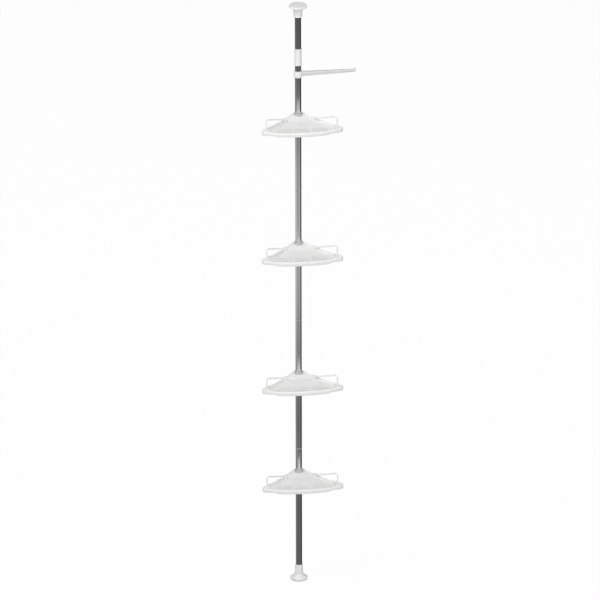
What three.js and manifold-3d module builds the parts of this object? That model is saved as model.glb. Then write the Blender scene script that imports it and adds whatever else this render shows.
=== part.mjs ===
// A tension pole shelf unit: a spring-loaded pole that stands between floor and ceiling,
// with four corner trays, each with two rails, and one towel arm.
// Millimetres, +Z up. The origin is on the floor, under the middle of the pole.
import * as THREE from 'three';
import { mergeVertices } from 'three/addons/utils/BufferGeometryUtils.js';
import Module from 'manifold-3d';

const wasm = await Module();
wasm.setup();

// Clearances and cuts
const gap = 0.3;
const overrun = 4;
// How far two bodies that are joined reach into each other
const sink = 0.3;

// Facets of a full turn
const turnSides = 24;
const rodSides = 8;
const holeSides = 12;
const flareSteps = 4;
const railBendSteps = 4;

// Pole tubes
const poleRadius = 12.5;
const tubeWall = 1.2;
const tubeLength = 555;
const tubeCount = 4;
const upperTubeLength = 192;

// Couplers between the lower tubes
const couplerLength = 80;
const couplerWall = 1.6;
const couplerRib = 1;

// Spring-loaded joint
const springTravel = 30;
const travelReserve = 1.5;
const guideLength = 175;
const guideInsertion = 95;
const guideWall = 2.2;
const pinRadius = 2;
const stopPinInset = 8;
const rivetInset = 76;
const sleeveLength = 70;
const sleeveOverlap = 19;
const sleeveWall = 1.3;
const sleeveBead = 1;
const sleeveBeadHeight = 5;
const sleeveLedge = 2.5;
const springLength = 80;
const springWireRadius = 1.2;
const springTurns = 11;
const springSeatTurns = 1;
const springStepsPerTurn = 8;
const springSides = 5;
const plugLength = 15;
const plugBore = 3;

// Feet and pads
const footRadius = 36;
const footHeight = 65;
const footNeckRadius = 14.6;
const footWaistRadius = 16.4;
const footWaistHeight = 30;
const footEdgeHeight = 10;
const footSoleRadius = 33;
const footBevel = 1.5;
const topFootHeight = 50;
const topNeckRadius = 17;
const topNeckHeight = 16;
const topNeckBead = 0.8;
const topNeckBeadHeight = 3;
const topRimHeight = 8.5;
const socketFloor = 12;
const padRadius = 30;
const padThickness = 3.2;
const padProud = 1.2;

// Clips that grip the pole
const clipWall = 1.2;
const clipTaper = 2.4;
const clipSplit = 0.6;
const clipFlange = 1.6;
const clipFlangeHeight = 2.5;
const clipProud = 1;

// Trays: their heights are shares of the lower pole's, and the rest is measured from the plane of the ears
const trayHeightShares = [0.2045, 0.3944, 0.6439, 0.8915];
const trayHalfWidth = 162;
const trayTipRadius = 15;
const trayFrontBow = 20.8;
const trayEdgeSetback = 27;
const frontSteps = 12;
const tipSteps = 5;
const edgeSteps = 4;
const hubSteps = 4;
const trayWall = 2.4;
const rimWidth = 4.6;
const rimBead = 4.5;
const rimInnerShare = 0.3;
const coveWidth = 4.4;
const coveHeight = 3.5;
const skirtDraft = 1.5;
const frontRimHeight = 4;
const earHeight = 8;
const edgeLowHeight = 5;
const shoulderHeight = 9;
const hubRimHeight = 18.5;
const earInset = 32;
const earBlend = 14;
const shoulderHalfWidth = 62;
const bowlHalfWidth = 118;
const bowlBlend = 20;
const bowlSkirt = 14;
const earSkirt = 9.5;
const floorBackHeight = 0;
const floorFrontHeight = -7;
const deckDepth = 36;
const deckStep = 1.2;
const deckFrontHeight = 7.8;
const deckBackHeight = 10;
const bossWall = 2.4;
const bossBottom = 22;
const gussetThickness = 3;
const gussetReach = 95;
const gussetCount = 3;
const gussetSpread = Math.PI / 3.6;

// Drainage slots in a tray's floor
const slotRows = 4;
const slotWidth = 5;
const slotPitch = 13;
const slotFrontInset = 21;
const slotBridge = 12;
const slotColumns = 3;
const slotArcSteps = 2;
const slotReachShares = [0.66, 0.64, 0.6, 0.55];

// Rails of a tray
const railRadius = 2.8;
const railHeight = 46;
const railBend = 13;
const railPostInset = 21;
const railEdgeInset = 6.4;
const railShoulderX = 62;
const railShoulderInset = 10;
const railShoulderHeight = 12;
const railSeat = 9;
const railEarSeat = 7;
const shoulderBossWall = 2.4;
const shoulderBossHeight = 16.4;

// Towel arm
const armBelowSleeve = 38.1;
const armCollarHeight = 25;
const armCollarWall = 1.8;
const armClipWall = 1.6;
const armClipTaper = 0.8;
const armReach = 229;
const armRootHeight = 19;
const armTipHeight = 11;
const armRootWidth = 10;
const armTipWidth = 8;
const armNubHeight = 4;
const armNubLength = 9;
const armTroughDepth = 8;
const armTroughWall = 2.2;
const armTroughEnd = 44;
const armTroughStart = 8;

// Materials
const chrome = new THREE.MeshStandardMaterial({ color: 0xb4b6b8, metalness: 1, roughness: 0.14 });
const white = new THREE.MeshStandardMaterial({ color: 0xeeeeec, metalness: 0, roughness: 0.42 });
const rubber = new THREE.MeshStandardMaterial({ color: 0xc4c4c2, metalness: 0, roughness: 0.85 });
const nylon = new THREE.MeshStandardMaterial({ color: 0xd9d9d5, metalness: 0, roughness: 0.55 });
const springSteel = new THREE.MeshStandardMaterial({ color: 0x8d9093, metalness: 1, roughness: 0.35 });

// Worked out from the driving sizes
const tubeBore = poleRadius - tubeWall;
const socketRadius = poleRadius + gap;
const tubePitch = tubeLength + couplerRib + 2 * gap;
const tubeBottom = socketFloor + gap;
const lowerPoleTop = tubeBottom + (tubeCount - 1) * tubePitch + tubeLength;
const ledgeTop = lowerPoleTop + gap + sleeveLedge;
const upperTubeBottom = ledgeTop + springTravel + travelReserve;
const upperTubeTop = upperTubeBottom + upperTubeLength;
const ceiling = upperTubeTop + gap + socketFloor;
const guideRadius = tubeBore - gap;
const guideBottom = lowerPoleTop - guideInsertion;
const guideTop = guideBottom + guideLength;
const stopPinHeight = upperTubeBottom + stopPinInset;
const rivetHeight = lowerPoleTop - rivetInset;
const plugBottom = guideTop + springLength + 2 * gap;
const sleeveBottom = lowerPoleTop - sleeveOverlap;
const armHeight = sleeveBottom - armBelowSleeve;
const trayTip = tipCentre();
const trayDepth = trayTipRadius + trayFrontBow - trayTip.y;
const hubRadius = trayEdgeSetback * Math.SQRT1_2;
const earStart = trayHalfWidth - earInset - earBlend;
const rimInnerDrop = rimBead * rimInnerShare;
const clipTop = hubRimHeight + clipProud;
const clipBottom = -bossBottom - clipFlangeHeight - gap;
const bossRadius = socketRadius + clipWall + clipTaper + gap + bossWall;
const trayFrontRadius = frontRadius();

// Gives a geometry with merged vertices, no flat triangles and its faces pointing out
function closed(source) {
  const bare = source.index ? source.toNonIndexed() : source.clone();
  bare.deleteAttribute('normal');
  if (bare.attributes.uv) bare.deleteAttribute('uv');
  const merged = mergeVertices(bare);
  const corners = merged.index.array;
  const kept = [];
  for (let i = 0; i < corners.length; i += 3) {
    const [a, b, c] = [corners[i], corners[i + 1], corners[i + 2]];
    if (a !== b && b !== c && c !== a) kept.push(a, b, c);
  }
  merged.setIndex(volume(merged.attributes.position, kept) < 0 ? kept.reverse() : kept);
  merged.computeVertexNormals();
  return merged;
}

function volume(points, corners) {
  const [a, b, c] = [new THREE.Vector3(), new THREE.Vector3(), new THREE.Vector3()];
  let total = 0;
  for (let i = 0; i < corners.length; i += 3) {
    a.fromBufferAttribute(points, corners[i]);
    b.fromBufferAttribute(points, corners[i + 1]);
    c.fromBufferAttribute(points, corners[i + 2]);
    total += a.dot(b.cross(c)) / 6;
  }
  return total;
}

function toSolid(geometry) {
  const shape = closed(geometry);
  return new wasm.Manifold(new wasm.Mesh({
    numProp: 3,
    vertProperties: new Float32Array(shape.attributes.position.array),
    triVerts: new Uint32Array(shape.index.array),
  }));
}

function toGeometry(solid) {
  const mesh = solid.getMesh();
  const geometry = new THREE.BufferGeometry();
  geometry.setAttribute('position', new THREE.BufferAttribute(new Float32Array(mesh.vertProperties), 3));
  geometry.setIndex(new THREE.BufferAttribute(new Uint32Array(mesh.triVerts), 1));
  geometry.computeVertexNormals();
  return geometry;
}

function joined(...geometries) {
  return geometries.map(toSolid).reduce((whole, piece) => whole.add(piece));
}

function cut(solid, ...geometries) {
  return geometries.map(toSolid).reduce((whole, piece) => whole.subtract(piece), solid);
}

// Turns an outline of [radius, height] points about the Z axis; the outline closes on itself
function revolved(outline, sides = turnSides) {
  const points = [...outline, outline[0]].map(([radius, height]) => new THREE.Vector2(radius, height));
  return new THREE.LatheGeometry(points, sides).rotateX(Math.PI / 2);
}

function disc(radius, bottom, top, sides = turnSides) {
  return revolved([[0, bottom], [radius, bottom], [radius, top], [0, top]], sides);
}

function tube(outer, inner, bottom, top) {
  return revolved([[inner, bottom], [outer, bottom], [outer, top], [inner, top]]);
}

// A pin that lies along the X axis at a height
function crossPin(radius, halfLength, height) {
  return disc(radius, -halfLength, halfLength, rodSides)
    .rotateY(Math.PI / 2)
    .translate(0, 0, height);
}

// A hole for a pin, as a body to cut away
function pinHole(height) {
  return crossPin(pinRadius + gap, poleRadius + overrun, height);
}

function extruded(points, depth) {
  const shape = new THREE.Shape(points.map(([x, y]) => new THREE.Vector2(x, y)));
  return new THREE.ExtrudeGeometry(shape, { depth, bevelEnabled: false });
}

// A prism whose profile lies in the plane of X and Z, centred on Y
function sideProfile(points, width) {
  return extruded(points, width).rotateX(Math.PI / 2).translate(0, width / 2, 0);
}

// A prism whose profile lies in the plane of Y and Z, centred on X
function crossProfile(points, width) {
  return extruded(points, width).rotateX(Math.PI / 2).rotateZ(Math.PI / 2).translate(-width / 2, 0, 0);
}

// Corners of the side faces between neighbouring rings of equal point counts
function sideCorners(rings) {
  const count = rings[0].length;
  const corners = [];
  for (let ring = 0; ring < rings.length - 1; ring += 1) {
    for (let i = 0; i < count; i += 1) {
      const next = (i + 1) % count;
      const [a, b] = [ring * count + i, ring * count + next];
      corners.push(a, b, b + count, a, b + count, a + count);
    }
  }
  return corners;
}

// A closed solid through rings, capped on its first and last ring
function skinned(rings) {
  const count = rings[0].length;
  const points = rings.flat();
  const corners = sideCorners(rings);
  for (const [start, turned] of [[0, true], [(rings.length - 1) * count, false]]) {
    const ring = points.slice(start, start + count);
    const flat = ring.map((point) => new THREE.Vector2(point.x, point.y));
    for (const [a, b, c] of THREE.ShapeUtils.triangulateShape(flat, [])) {
      corners.push(...(turned ? [c, b, a] : [a, b, c]).map((corner) => start + corner));
    }
  }
  const geometry = new THREE.BufferGeometry().setFromPoints(points);
  geometry.setIndex(corners);
  return geometry;
}

// Pole

function poleTube(index) {
  const bottom = tubeBottom + index * tubePitch;
  const body = tube(poleRadius, tubeBore, bottom, bottom + tubeLength);
  if (index < tubeCount - 1) return body;
  return toGeometry(cut(toSolid(body), pinHole(rivetHeight)));
}

function coupler(index) {
  const middle = tubeBottom + (index + 1) * tubePitch - gap - couplerRib / 2;
  const radius = tubeBore - gap;
  const bore = radius - couplerWall;
  const [low, high] = [middle - couplerLength / 2, middle + couplerLength / 2];
  const [ribLow, ribHigh] = [middle - couplerRib / 2, middle + couplerRib / 2];
  return revolved([
    [bore, low], [radius, low], [radius, ribLow], [poleRadius, ribLow],
    [poleRadius, ribHigh], [radius, ribHigh], [radius, high], [bore, high],
  ]);
}

function guideRod() {
  const body = tube(guideRadius, guideRadius - guideWall, guideBottom, guideTop);
  const slotTop = stopPinHeight + pinRadius + gap;
  const slotBottom = stopPinHeight - springTravel - pinRadius - travelReserve;
  const half = pinRadius + gap;
  const slot = crossProfile([
    [-half, slotBottom], [half, slotBottom], [half, slotTop], [-half, slotTop],
  ], 2 * (guideRadius + overrun));
  return toGeometry(cut(toSolid(body), slot, pinHole(rivetHeight)));
}

function upperTube() {
  const body = tube(poleRadius, tubeBore, upperTubeBottom, upperTubeTop);
  return toGeometry(cut(toSolid(body), pinHole(stopPinHeight)));
}

// A helix whose first and last turns lie almost flat, so that the spring seats on its ends
function spring() {
  const radius = guideRadius - guideWall / 2 - gap;
  const steps = springTurns * springStepsPerTurn;
  const bottom = guideTop + gap + springWireRadius;
  const rise = springLength - 2 * springWireRadius;
  const seatPitch = 2 * springWireRadius + 2 * gap;
  const workingPitch = (rise - 2 * springSeatTurns * seatPitch) / (springTurns - 2 * springSeatTurns);
  const heightAt = (turn) => {
    const low = Math.min(turn, springSeatTurns);
    const high = Math.max(turn - (springTurns - springSeatTurns), 0);
    return bottom + (low + high) * seatPitch + (turn - low - high) * workingPitch;
  };
  const rings = [];
  for (let step = 0; step <= steps; step += 1) {
    const turn = step / springStepsPerTurn;
    const angle = 2 * Math.PI * turn;
    const ring = [];
    for (let side = 0; side < springSides; side += 1) {
      const around = 2 * Math.PI * side / springSides;
      const out = radius + springWireRadius * Math.cos(around);
      ring.push(new THREE.Vector3(out * Math.cos(angle), out * Math.sin(angle),
        heightAt(turn) + springWireRadius * Math.sin(around)));
    }
    rings.push(ring);
  }
  console.log(`spring: least gap between turns ${leastGap(rings).toFixed(2)} mm`);
  return wireSolid(rings);
}

// The least gap of the spring's wire to itself, between points at least half a turn apart
function leastGap(rings) {
  let least = Infinity;
  rings.forEach((ring, i) => {
    const others = rings.slice(i + springStepsPerTurn / 2).flat();
    ring.forEach((point) => {
      others.forEach((other) => {
        least = Math.min(least, point.distanceTo(other));
      });
    });
  });
  return least;
}

// Skins the rings of a wire and closes its two ends with fans
function wireSolid(rings) {
  const count = rings[0].length;
  const corners = sideCorners(rings);
  const last = (rings.length - 1) * count;
  for (let i = 1; i < count - 1; i += 1) {
    corners.push(0, i + 1, i);
    corners.push(last, last + i, last + i + 1);
  }
  const geometry = new THREE.BufferGeometry().setFromPoints(rings.flat());
  geometry.setIndex(corners);
  return geometry;
}

function springPlug() {
  return tube(guideRadius, plugBore, plugBottom, plugBottom + plugLength);
}

// White cover over the gap between the lower and the upper tube, with a ledge on the lower one
function tensionSleeve() {
  const top = sleeveBottom + sleeveLength;
  const body = socketRadius + sleeveWall;
  const bead = body + sleeveBead;
  const ledgeBore = guideRadius + gap;
  const [beadTop, upperBeadBottom] = [sleeveBottom + sleeveBeadHeight, top - sleeveBeadHeight];
  return revolved([
    [socketRadius, sleeveBottom], [bead, sleeveBottom], [bead, beadTop], [body, beadTop + sleeveBead],
    [body, upperBeadBottom - sleeveBead], [bead, upperBeadBottom], [bead, top], [socketRadius, top],
    [socketRadius, ledgeTop], [ledgeBore, ledgeTop], [ledgeBore, ledgeTop - sleeveLedge],
    [socketRadius, ledgeTop - sleeveLedge],
  ]);
}

// Feet

// A flat pad with a bevelled edge; its outer face is at height zero
function pad() {
  return revolved([
    [0, 0], [padRadius - padProud, 0], [padRadius, padProud], [padRadius, padThickness], [0, padThickness],
  ]);
}

// Points on a quarter-like flare from a wide edge to a narrow neck
function flare(wide, low, narrow, high) {
  const points = [];
  for (let step = 0; step <= flareSteps; step += 1) {
    const angle = (Math.PI / 2) * step / flareSteps;
    const radius = wide + (narrow - wide) * Math.sin(angle);
    points.push([radius, high + (low - high) * Math.cos(angle)]);
  }
  return points;
}

function bottomFoot() {
  const recess = padThickness + gap;
  const edge = padRadius + gap;
  return revolved([
    [0, recess], [edge, recess], [edge, padProud], [footSoleRadius, padProud],
    [footRadius - footBevel, footEdgeHeight / 2], [footRadius, footEdgeHeight - footBevel],
    ...flare(footRadius - footBevel / 2, footEdgeHeight, footWaistRadius, footWaistHeight),
    [footNeckRadius, footHeight], [socketRadius, footHeight], [socketRadius, socketFloor], [0, socketFloor],
  ]);
}

// The ceiling foot, built like the floor foot with its pad face at height zero and turned over when placed
function topFoot() {
  const recess = padThickness + gap;
  const edge = padRadius + gap;
  const neckLow = topFootHeight - topNeckHeight;
  const bead = topNeckRadius + topNeckBead;
  const beadLow = topFootHeight - topNeckBeadHeight;
  return revolved([
    [0, recess], [edge, recess], [edge, padProud], [footRadius - footBevel, padProud],
    [footRadius, padProud + footBevel],
    ...flare(footRadius, topRimHeight, topNeckRadius, neckLow),
    [topNeckRadius, beadLow], [bead, beadLow + topNeckBead],
    [bead, topFootHeight], [socketRadius, topFootHeight], [socketRadius, socketFloor], [0, socketFloor],
  ]);
}

// Clips

// Half of a tapered ring, narrow at its top, on one side of the pole
function clipHalf(bottom, top, wall, taper, flangeWidth, flangeHeight, side) {
  const outer = socketRadius + wall + taper;
  const profile = [[socketRadius, bottom]];
  if (flangeWidth > 0) {
    profile.push([outer + flangeWidth, bottom], [outer + flangeWidth, bottom + flangeHeight],
      [outer, bottom + flangeHeight]);
  } else {
    profile.push([outer, bottom]);
  }
  profile.push([outer - taper, top], [socketRadius, top]);
  const reach = outer + flangeWidth + overrun;
  const split = clipSplit / 2;
  const half = extruded([
    [split, -reach], [reach, -reach], [reach, reach], [split, reach],
  ], top - bottom + 2 * overrun).translate(0, 0, bottom - overrun);
  if (side < 0) half.rotateZ(Math.PI);
  return toGeometry(toSolid(revolved(profile)).intersect(toSolid(half)));
}

function trayClipHalf(side) {
  return clipHalf(clipBottom, clipTop, clipWall, clipTaper, clipFlange, clipFlangeHeight, side);
}

function armClipHalf(side) {
  return clipHalf(-armCollarHeight / 2, armCollarHeight / 2, armClipWall, armClipTaper, 0, 0, side);
}

// The tapered bore that goes over a pair of clip halves, as a body to cut away
function clipBore(bottom, top, wall, taper) {
  const slope = taper / (top - bottom);
  const wide = socketRadius + wall + taper + gap;
  return revolved([
    [0, bottom - overrun], [wide + slope * overrun, bottom - overrun],
    [wide - taper - slope * overrun, top + overrun], [0, top + overrun],
  ]);
}

// Trays

// Radius of the front edge, which runs tangent into both tips
function frontRadius() {
  const rise = trayTip.y + trayDepth;
  return (trayTip.x ** 2 + rise ** 2 - trayTipRadius ** 2) / (2 * (rise - trayTipRadius));
}

// Where a tip's arc touches both the side line and the back edge, which runs at 45 degrees
function tipCentre() {
  const x = trayHalfWidth - trayTipRadius;
  return new THREE.Vector2(x, trayEdgeSetback - Math.SQRT2 * trayTipRadius - x);
}

function arcPoints(centre, radius, from, to, steps) {
  const points = [];
  for (let step = 0; step <= steps; step += 1) {
    const angle = from + (to - from) * step / steps;
    points.push(new THREE.Vector2(centre.x + radius * Math.cos(angle), centre.y + radius * Math.sin(angle)));
  }
  return points;
}

// The tray's outline seen from above, drawn in by an inset: front arc, tip, straight back edge
// and the hub's arc round the pole, with the left half mirrored from the right
function trayOutline(inset) {
  const front = new THREE.Vector2(0, trayFrontRadius - trayDepth);
  const meet = Math.atan2(trayTip.y - front.y, trayTip.x - front.x);
  const half = [
    ...arcPoints(front, trayFrontRadius - inset, -Math.PI / 2, meet, frontSteps / 2),
    ...arcPoints(trayTip, trayTipRadius - inset, meet, Math.PI / 4, tipSteps).slice(1),
  ];
  const hub = arcPoints(new THREE.Vector2(0, 0), hubRadius - inset, Math.PI / 4, Math.PI / 2, hubSteps / 2);
  const edgeStart = half[half.length - 1];
  for (let step = 1; step < edgeSteps; step += 1) {
    half.push(edgeStart.clone().lerp(hub[0], step / edgeSteps));
  }
  half.push(...hub);
  const mirrored = half.slice(1, -1).reverse().map((point) => new THREE.Vector2(-point.x, point.y));
  return [...half, ...mirrored];
}

// Whether a point of the outline lies on the back edges rather than on the front arc
function isBehind(point) {
  return point.y >= trayEdgeSetback - trayTipRadius * Math.SQRT2 - Math.abs(point.x);
}

// Height of a back edge, which rises from the ear to the shoulder and on to the hub
function backEdgeHeight(side) {
  const { mapLinear } = THREE.MathUtils;
  if (side > shoulderHalfWidth) {
    const height = mapLinear(side, earStart, shoulderHalfWidth, edgeLowHeight, shoulderHeight);
    return Math.max(height, edgeLowHeight);
  }
  const height = mapLinear(side, shoulderHalfWidth, hubRadius, shoulderHeight, hubRimHeight);
  return Math.min(height, hubRimHeight);
}

// Height of the rim's top at a point of the outline
function rimHeight(point) {
  const side = Math.abs(point.x);
  const ear = THREE.MathUtils.smoothstep(side, earStart, earStart + earBlend);
  const edge = isBehind(point) ? backEdgeHeight(side) : frontRimHeight;
  return THREE.MathUtils.lerp(edge, earHeight, ear);
}

// Height of the skirt's lower edge: deep along the front, shallow under the ears and behind
function skirtHeight(point) {
  const side = Math.abs(point.x);
  const blend = THREE.MathUtils.smoothstep(side, bowlHalfWidth - bowlBlend, bowlHalfWidth);
  const shallow = isBehind(point) ? 1 : blend;
  return THREE.MathUtils.lerp(-bowlSkirt, -earSkirt, shallow);
}

// Height of the floor at a place along Y: it falls evenly from the deck to the front
function floorHeight(y) {
  return THREE.MathUtils.mapLinear(y, -deckDepth, -trayDepth, floorBackHeight, floorFrontHeight);
}

function trayRing(inset, heightAt) {
  const outer = trayOutline(0);
  return trayOutline(inset).map((point, i) => new THREE.Vector3(point.x, point.y, heightAt(outer[i], point)));
}

// The moulded shell: skirt, rolled rim, cove and sloping floor, all one wall thick
function trayShell() {
  const skirtInset = rimWidth - trayWall / 4;
  return skinned([
    trayRing(skirtInset, (outer, point) => floorHeight(point.y) - trayWall),
    trayRing(skirtInset, (outer) => skirtHeight(outer)),
    trayRing(skirtDraft, (outer) => skirtHeight(outer)),
    trayRing(0, (outer) => rimHeight(outer) - rimBead),
    trayRing(rimWidth / 2, (outer) => rimHeight(outer)),
    trayRing(rimWidth, (outer) => rimHeight(outer) - rimInnerDrop),
    trayRing(rimWidth + skirtDraft, (outer, point) => floorHeight(point.y) + coveHeight),
    trayRing(rimWidth + skirtDraft + coveWidth, (outer, point) => floorHeight(point.y)),
  ]);
}

// A solid of the outline between two heights, kept only inside another solid
function outlineBlock(inset, bottom, top, keep) {
  const outline = trayOutline(inset).map((point) => [point.x, point.y]);
  const block = extruded(outline, top - bottom).translate(0, 0, bottom);
  return toSolid(block).intersect(toSolid(keep));
}

// The raised corner deck that slopes up to the hub, between the high back walls
function trayDeck() {
  const back = hubRadius + overrun;
  const under = floorBackHeight - trayWall;
  const wedge = crossProfile([
    [-deckDepth, under], [back, under], [back, deckBackHeight],
    [-socketRadius - clipWall, deckFrontHeight], [-deckDepth, floorBackHeight + deckStep],
  ], 2 * trayHalfWidth);
  return outlineBlock(rimWidth / 2, -earSkirt, hubRimHeight, wedge);
}

// The flat cap on an ear, into which the rail's post is pushed
function earCap(side) {
  const inner = trayHalfWidth - earInset;
  const keep = extruded([
    [inner, -trayDepth], [trayHalfWidth, -trayDepth], [trayHalfWidth, 0], [inner, 0],
  ], earHeight + earSkirt).translate(0, 0, -earSkirt);
  if (side < 0) keep.rotateY(Math.PI).translate(0, 0, earHeight - earSkirt);
  return outlineBlock(rimWidth / 2, -earSkirt + trayWall, earHeight - rimInnerDrop, keep);
}

// One of the upright webs that carry the floor from the boss
function gusset(angle) {
  const inner = bossRadius - sink;
  const tip = floorHeight(-gussetReach) - trayWall;
  return sideProfile([
    [inner, trayWall - bossBottom], [inner, floorBackHeight - sink],
    [gussetReach, tip + sink], [gussetReach, tip - sink],
  ], gussetThickness).rotateZ(angle);
}

// Curved slots that follow the front edge, as bodies to cut away
function slots() {
  const bodies = [];
  const centre = new THREE.Vector2(0, trayFrontRadius - trayDepth);
  for (let row = 0; row < slotRows; row += 1) {
    const radius = trayFrontRadius - slotFrontInset - row * slotPitch;
    const reach = Math.asin(trayHalfWidth * slotReachShares[row] / radius);
    const bridge = slotBridge / radius;
    const span = (2 * reach - (slotColumns - 1) * bridge) / slotColumns;
    for (let column = 0; column < slotColumns; column += 1) {
      const from = -Math.PI / 2 - reach + column * (span + bridge);
      const inner = arcPoints(centre, radius - slotWidth / 2, from, from + span, slotArcSteps);
      const outer = arcPoints(centre, radius + slotWidth / 2, from, from + span, slotArcSteps);
      const outline = [...inner, ...outer.reverse()].map((point) => [point.x, point.y]);
      bodies.push(extruded(outline, 2 * overrun - floorFrontHeight + trayWall)
        .translate(0, 0, floorFrontHeight - trayWall - overrun));
    }
  }
  return bodies;
}

// Where a rail stands in the ear and where it ends at the deck's shoulder, on the right side
function railPlaces() {
  const onEdge = (x, inset) => new THREE.Vector2(x, trayEdgeSetback - inset * Math.SQRT2 - x);
  return {
    post: onEdge(trayHalfWidth - railPostInset, railEdgeInset),
    shoulder: onEdge(railShoulderX, railShoulderInset),
  };
}

function railPath() {
  const { post, shoulder } = railPlaces();
  const foot = new THREE.Vector3(post.x, post.y, earHeight - railEarSeat);
  const corner = new THREE.Vector3(post.x, post.y, railHeight);
  const end = new THREE.Vector3(shoulder.x, shoulder.y, railShoulderHeight);
  const slope = end.clone().sub(corner).normalize();
  end.addScaledVector(slope, railSeat);
  const bendStart = corner.clone().setZ(railHeight - railBend);
  const bendEnd = corner.clone().addScaledVector(slope, railBend);
  return { foot, bendStart, corner, bendEnd, end, slope };
}

// A round rod swept along the rail's path: straight post, bend and straight sloping run
function rail(side) {
  const { foot, bendStart, corner, bendEnd, end } = railPath();
  const bend = new THREE.QuadraticBezierCurve3(bendStart, corner, bendEnd);
  const centres = [foot, ...bend.getPoints(railBendSteps), end];
  const rings = centres.map((centre, i) => {
    const before = centres[Math.max(i - 1, 0)];
    const after = centres[Math.min(i + 1, centres.length - 1)];
    const heading = after.clone().sub(before).normalize();
    const across = new THREE.Vector3(1, -1, 0).cross(new THREE.Vector3(0, 0, 1)).normalize();
    const up = across.clone().cross(heading).normalize();
    const level = heading.clone().cross(up);
    const ring = [];
    for (let step = 0; step < rodSides; step += 1) {
      const angle = 2 * Math.PI * step / rodSides;
      ring.push(centre.clone()
        .addScaledVector(level, railRadius * Math.cos(angle))
        .addScaledVector(up, railRadius * Math.sin(angle)));
    }
    return ring;
  });
  const body = wireSolid(rings);
  return side < 0 ? body.scale(-1, 1, 1) : body;
}

// The two sockets of a rail: bosses to add and holes to cut
function railSockets(side) {
  const { post, shoulder } = railPlaces();
  const { slope } = railPath();
  const hole = railRadius + gap;
  const socket = hole + shoulderBossWall;
  const boss = disc(socket, floorBackHeight - trayWall, shoulderBossHeight, holeSides)
    .translate(shoulder.x + slope.x * railSeat / 2, shoulder.y + slope.y * railSeat / 2, 0);
  const earHole = disc(hole, earHeight - railEarSeat - gap, earHeight + overrun, holeSides)
    .translate(post.x, post.y, 0);
  const up = new THREE.Vector3(0, 0, 1);
  const shoulderHole = disc(hole, -railSeat - gap, socket + overrun, holeSides)
    .applyQuaternion(new THREE.Quaternion().setFromUnitVectors(up, slope.clone().negate()))
    .translate(shoulder.x, shoulder.y, railShoulderHeight);
  const pieces = { boss, earHole, shoulderHole };
  if (side < 0) Object.values(pieces).forEach((piece) => piece.scale(-1, 1, 1));
  return pieces;
}

function tray() {
  let body = joined(trayShell(), tube(bossRadius, poleRadius, -bossBottom, deckFrontHeight - sink));
  body = body.add(trayDeck()).add(earCap(1)).add(earCap(-1));
  for (let i = 0; i < gussetCount; i += 1) {
    body = body.add(toSolid(gusset(-Math.PI / 2 + (i - (gussetCount - 1) / 2) * gussetSpread)));
  }
  const [right, left] = [railSockets(1), railSockets(-1)];
  body = body.add(toSolid(right.boss)).add(toSolid(left.boss));
  const bore = clipBore(clipBottom, clipTop, clipWall, clipTaper);
  const holes = [right.earHole, left.earHole, right.shoulderHole, left.shoulderHole];
  return toGeometry(cut(body, bore, ...holes, ...slots()));
}

// Towel arm

// Collar and arm in one moulding: the arm is a trough that tapers to a solid tip with a small nub
function towelArm() {
  const half = armCollarHeight / 2;
  const wide = socketRadius + armClipWall + armClipTaper + gap;
  const outer = wide + armCollarWall;
  const top = armRootHeight / 2;
  const rootX = poleRadius;
  const nubX = armReach - armNubLength;
  const bar = sideProfile([
    [rootX, -top], [armReach - armNubLength / 3, top - armTipHeight], [armReach, top - armTipHeight * 2 / 3],
    [armReach, top + armNubHeight / 2], [armReach - armNubLength / 3, top + armNubHeight],
    [nubX + armNubLength / 3, top + armNubHeight], [nubX, top], [rootX, top],
  ], armRootWidth);
  const plan = extruded([
    [0, -armRootWidth / 2], [armReach, -armTipWidth / 2], [armReach, armTipWidth / 2], [0, armRootWidth / 2],
  ], 2 * armRootHeight).translate(0, 0, -armRootHeight);
  const troughStart = outer + armTroughStart;
  const troughEnd = armReach - armTroughEnd;
  const troughRoot = armRootWidth / 2 - armTroughWall;
  const troughTip = armTipWidth / 2 - armTroughWall;
  const trough = extruded([
    [troughStart, -troughRoot], [troughEnd, -troughTip], [troughEnd, troughTip], [troughStart, troughRoot],
  ], armTroughDepth + overrun).translate(0, 0, top - armTroughDepth);
  const arm = toSolid(bar).intersect(toSolid(plan)).add(toSolid(tube(outer, poleRadius, -half, half)));
  return toGeometry(cut(arm, trough, clipBore(-half, half, armClipWall, armClipTaper)));
}

// Assembly

const unit = new THREE.Group();

function place(parent, name, geometry, material) {
  const mesh = new THREE.Mesh(closed(geometry), material);
  mesh.name = name;
  parent.add(mesh);
  return mesh;
}

function groupAt(height) {
  const group = new THREE.Group();
  group.position.z = height;
  unit.add(group);
  return group;
}

function addPole() {
  place(unit, 'bottom_foot', bottomFoot(), white);
  place(unit, 'bottom_foot_pad', pad(), rubber);
  for (let i = 0; i < tubeCount; i += 1) place(unit, `pole_tube_${i + 1}`, poleTube(i), chrome);
  for (let i = 0; i < tubeCount - 1; i += 1) place(unit, `tube_coupler_${i + 1}`, coupler(i), nylon);
  place(unit, 'guide_rod', guideRod(), springSteel);
  place(unit, 'guide_rod_rivet', crossPin(pinRadius, poleRadius - gap, rivetHeight), springSteel);
  place(unit, 'tension_spring', spring(), springSteel);
  place(unit, 'spring_plug', springPlug(), nylon);
  place(unit, 'stop_pin', crossPin(pinRadius, poleRadius - gap, stopPinHeight), springSteel);
  place(unit, 'tension_sleeve', tensionSleeve(), white);
  place(unit, 'upper_tube', upperTube(), chrome);
  const top = groupAt(ceiling);
  top.rotation.x = Math.PI;
  place(top, 'top_foot', topFoot(), white);
  place(top, 'top_foot_pad', pad(), rubber);
}

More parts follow.
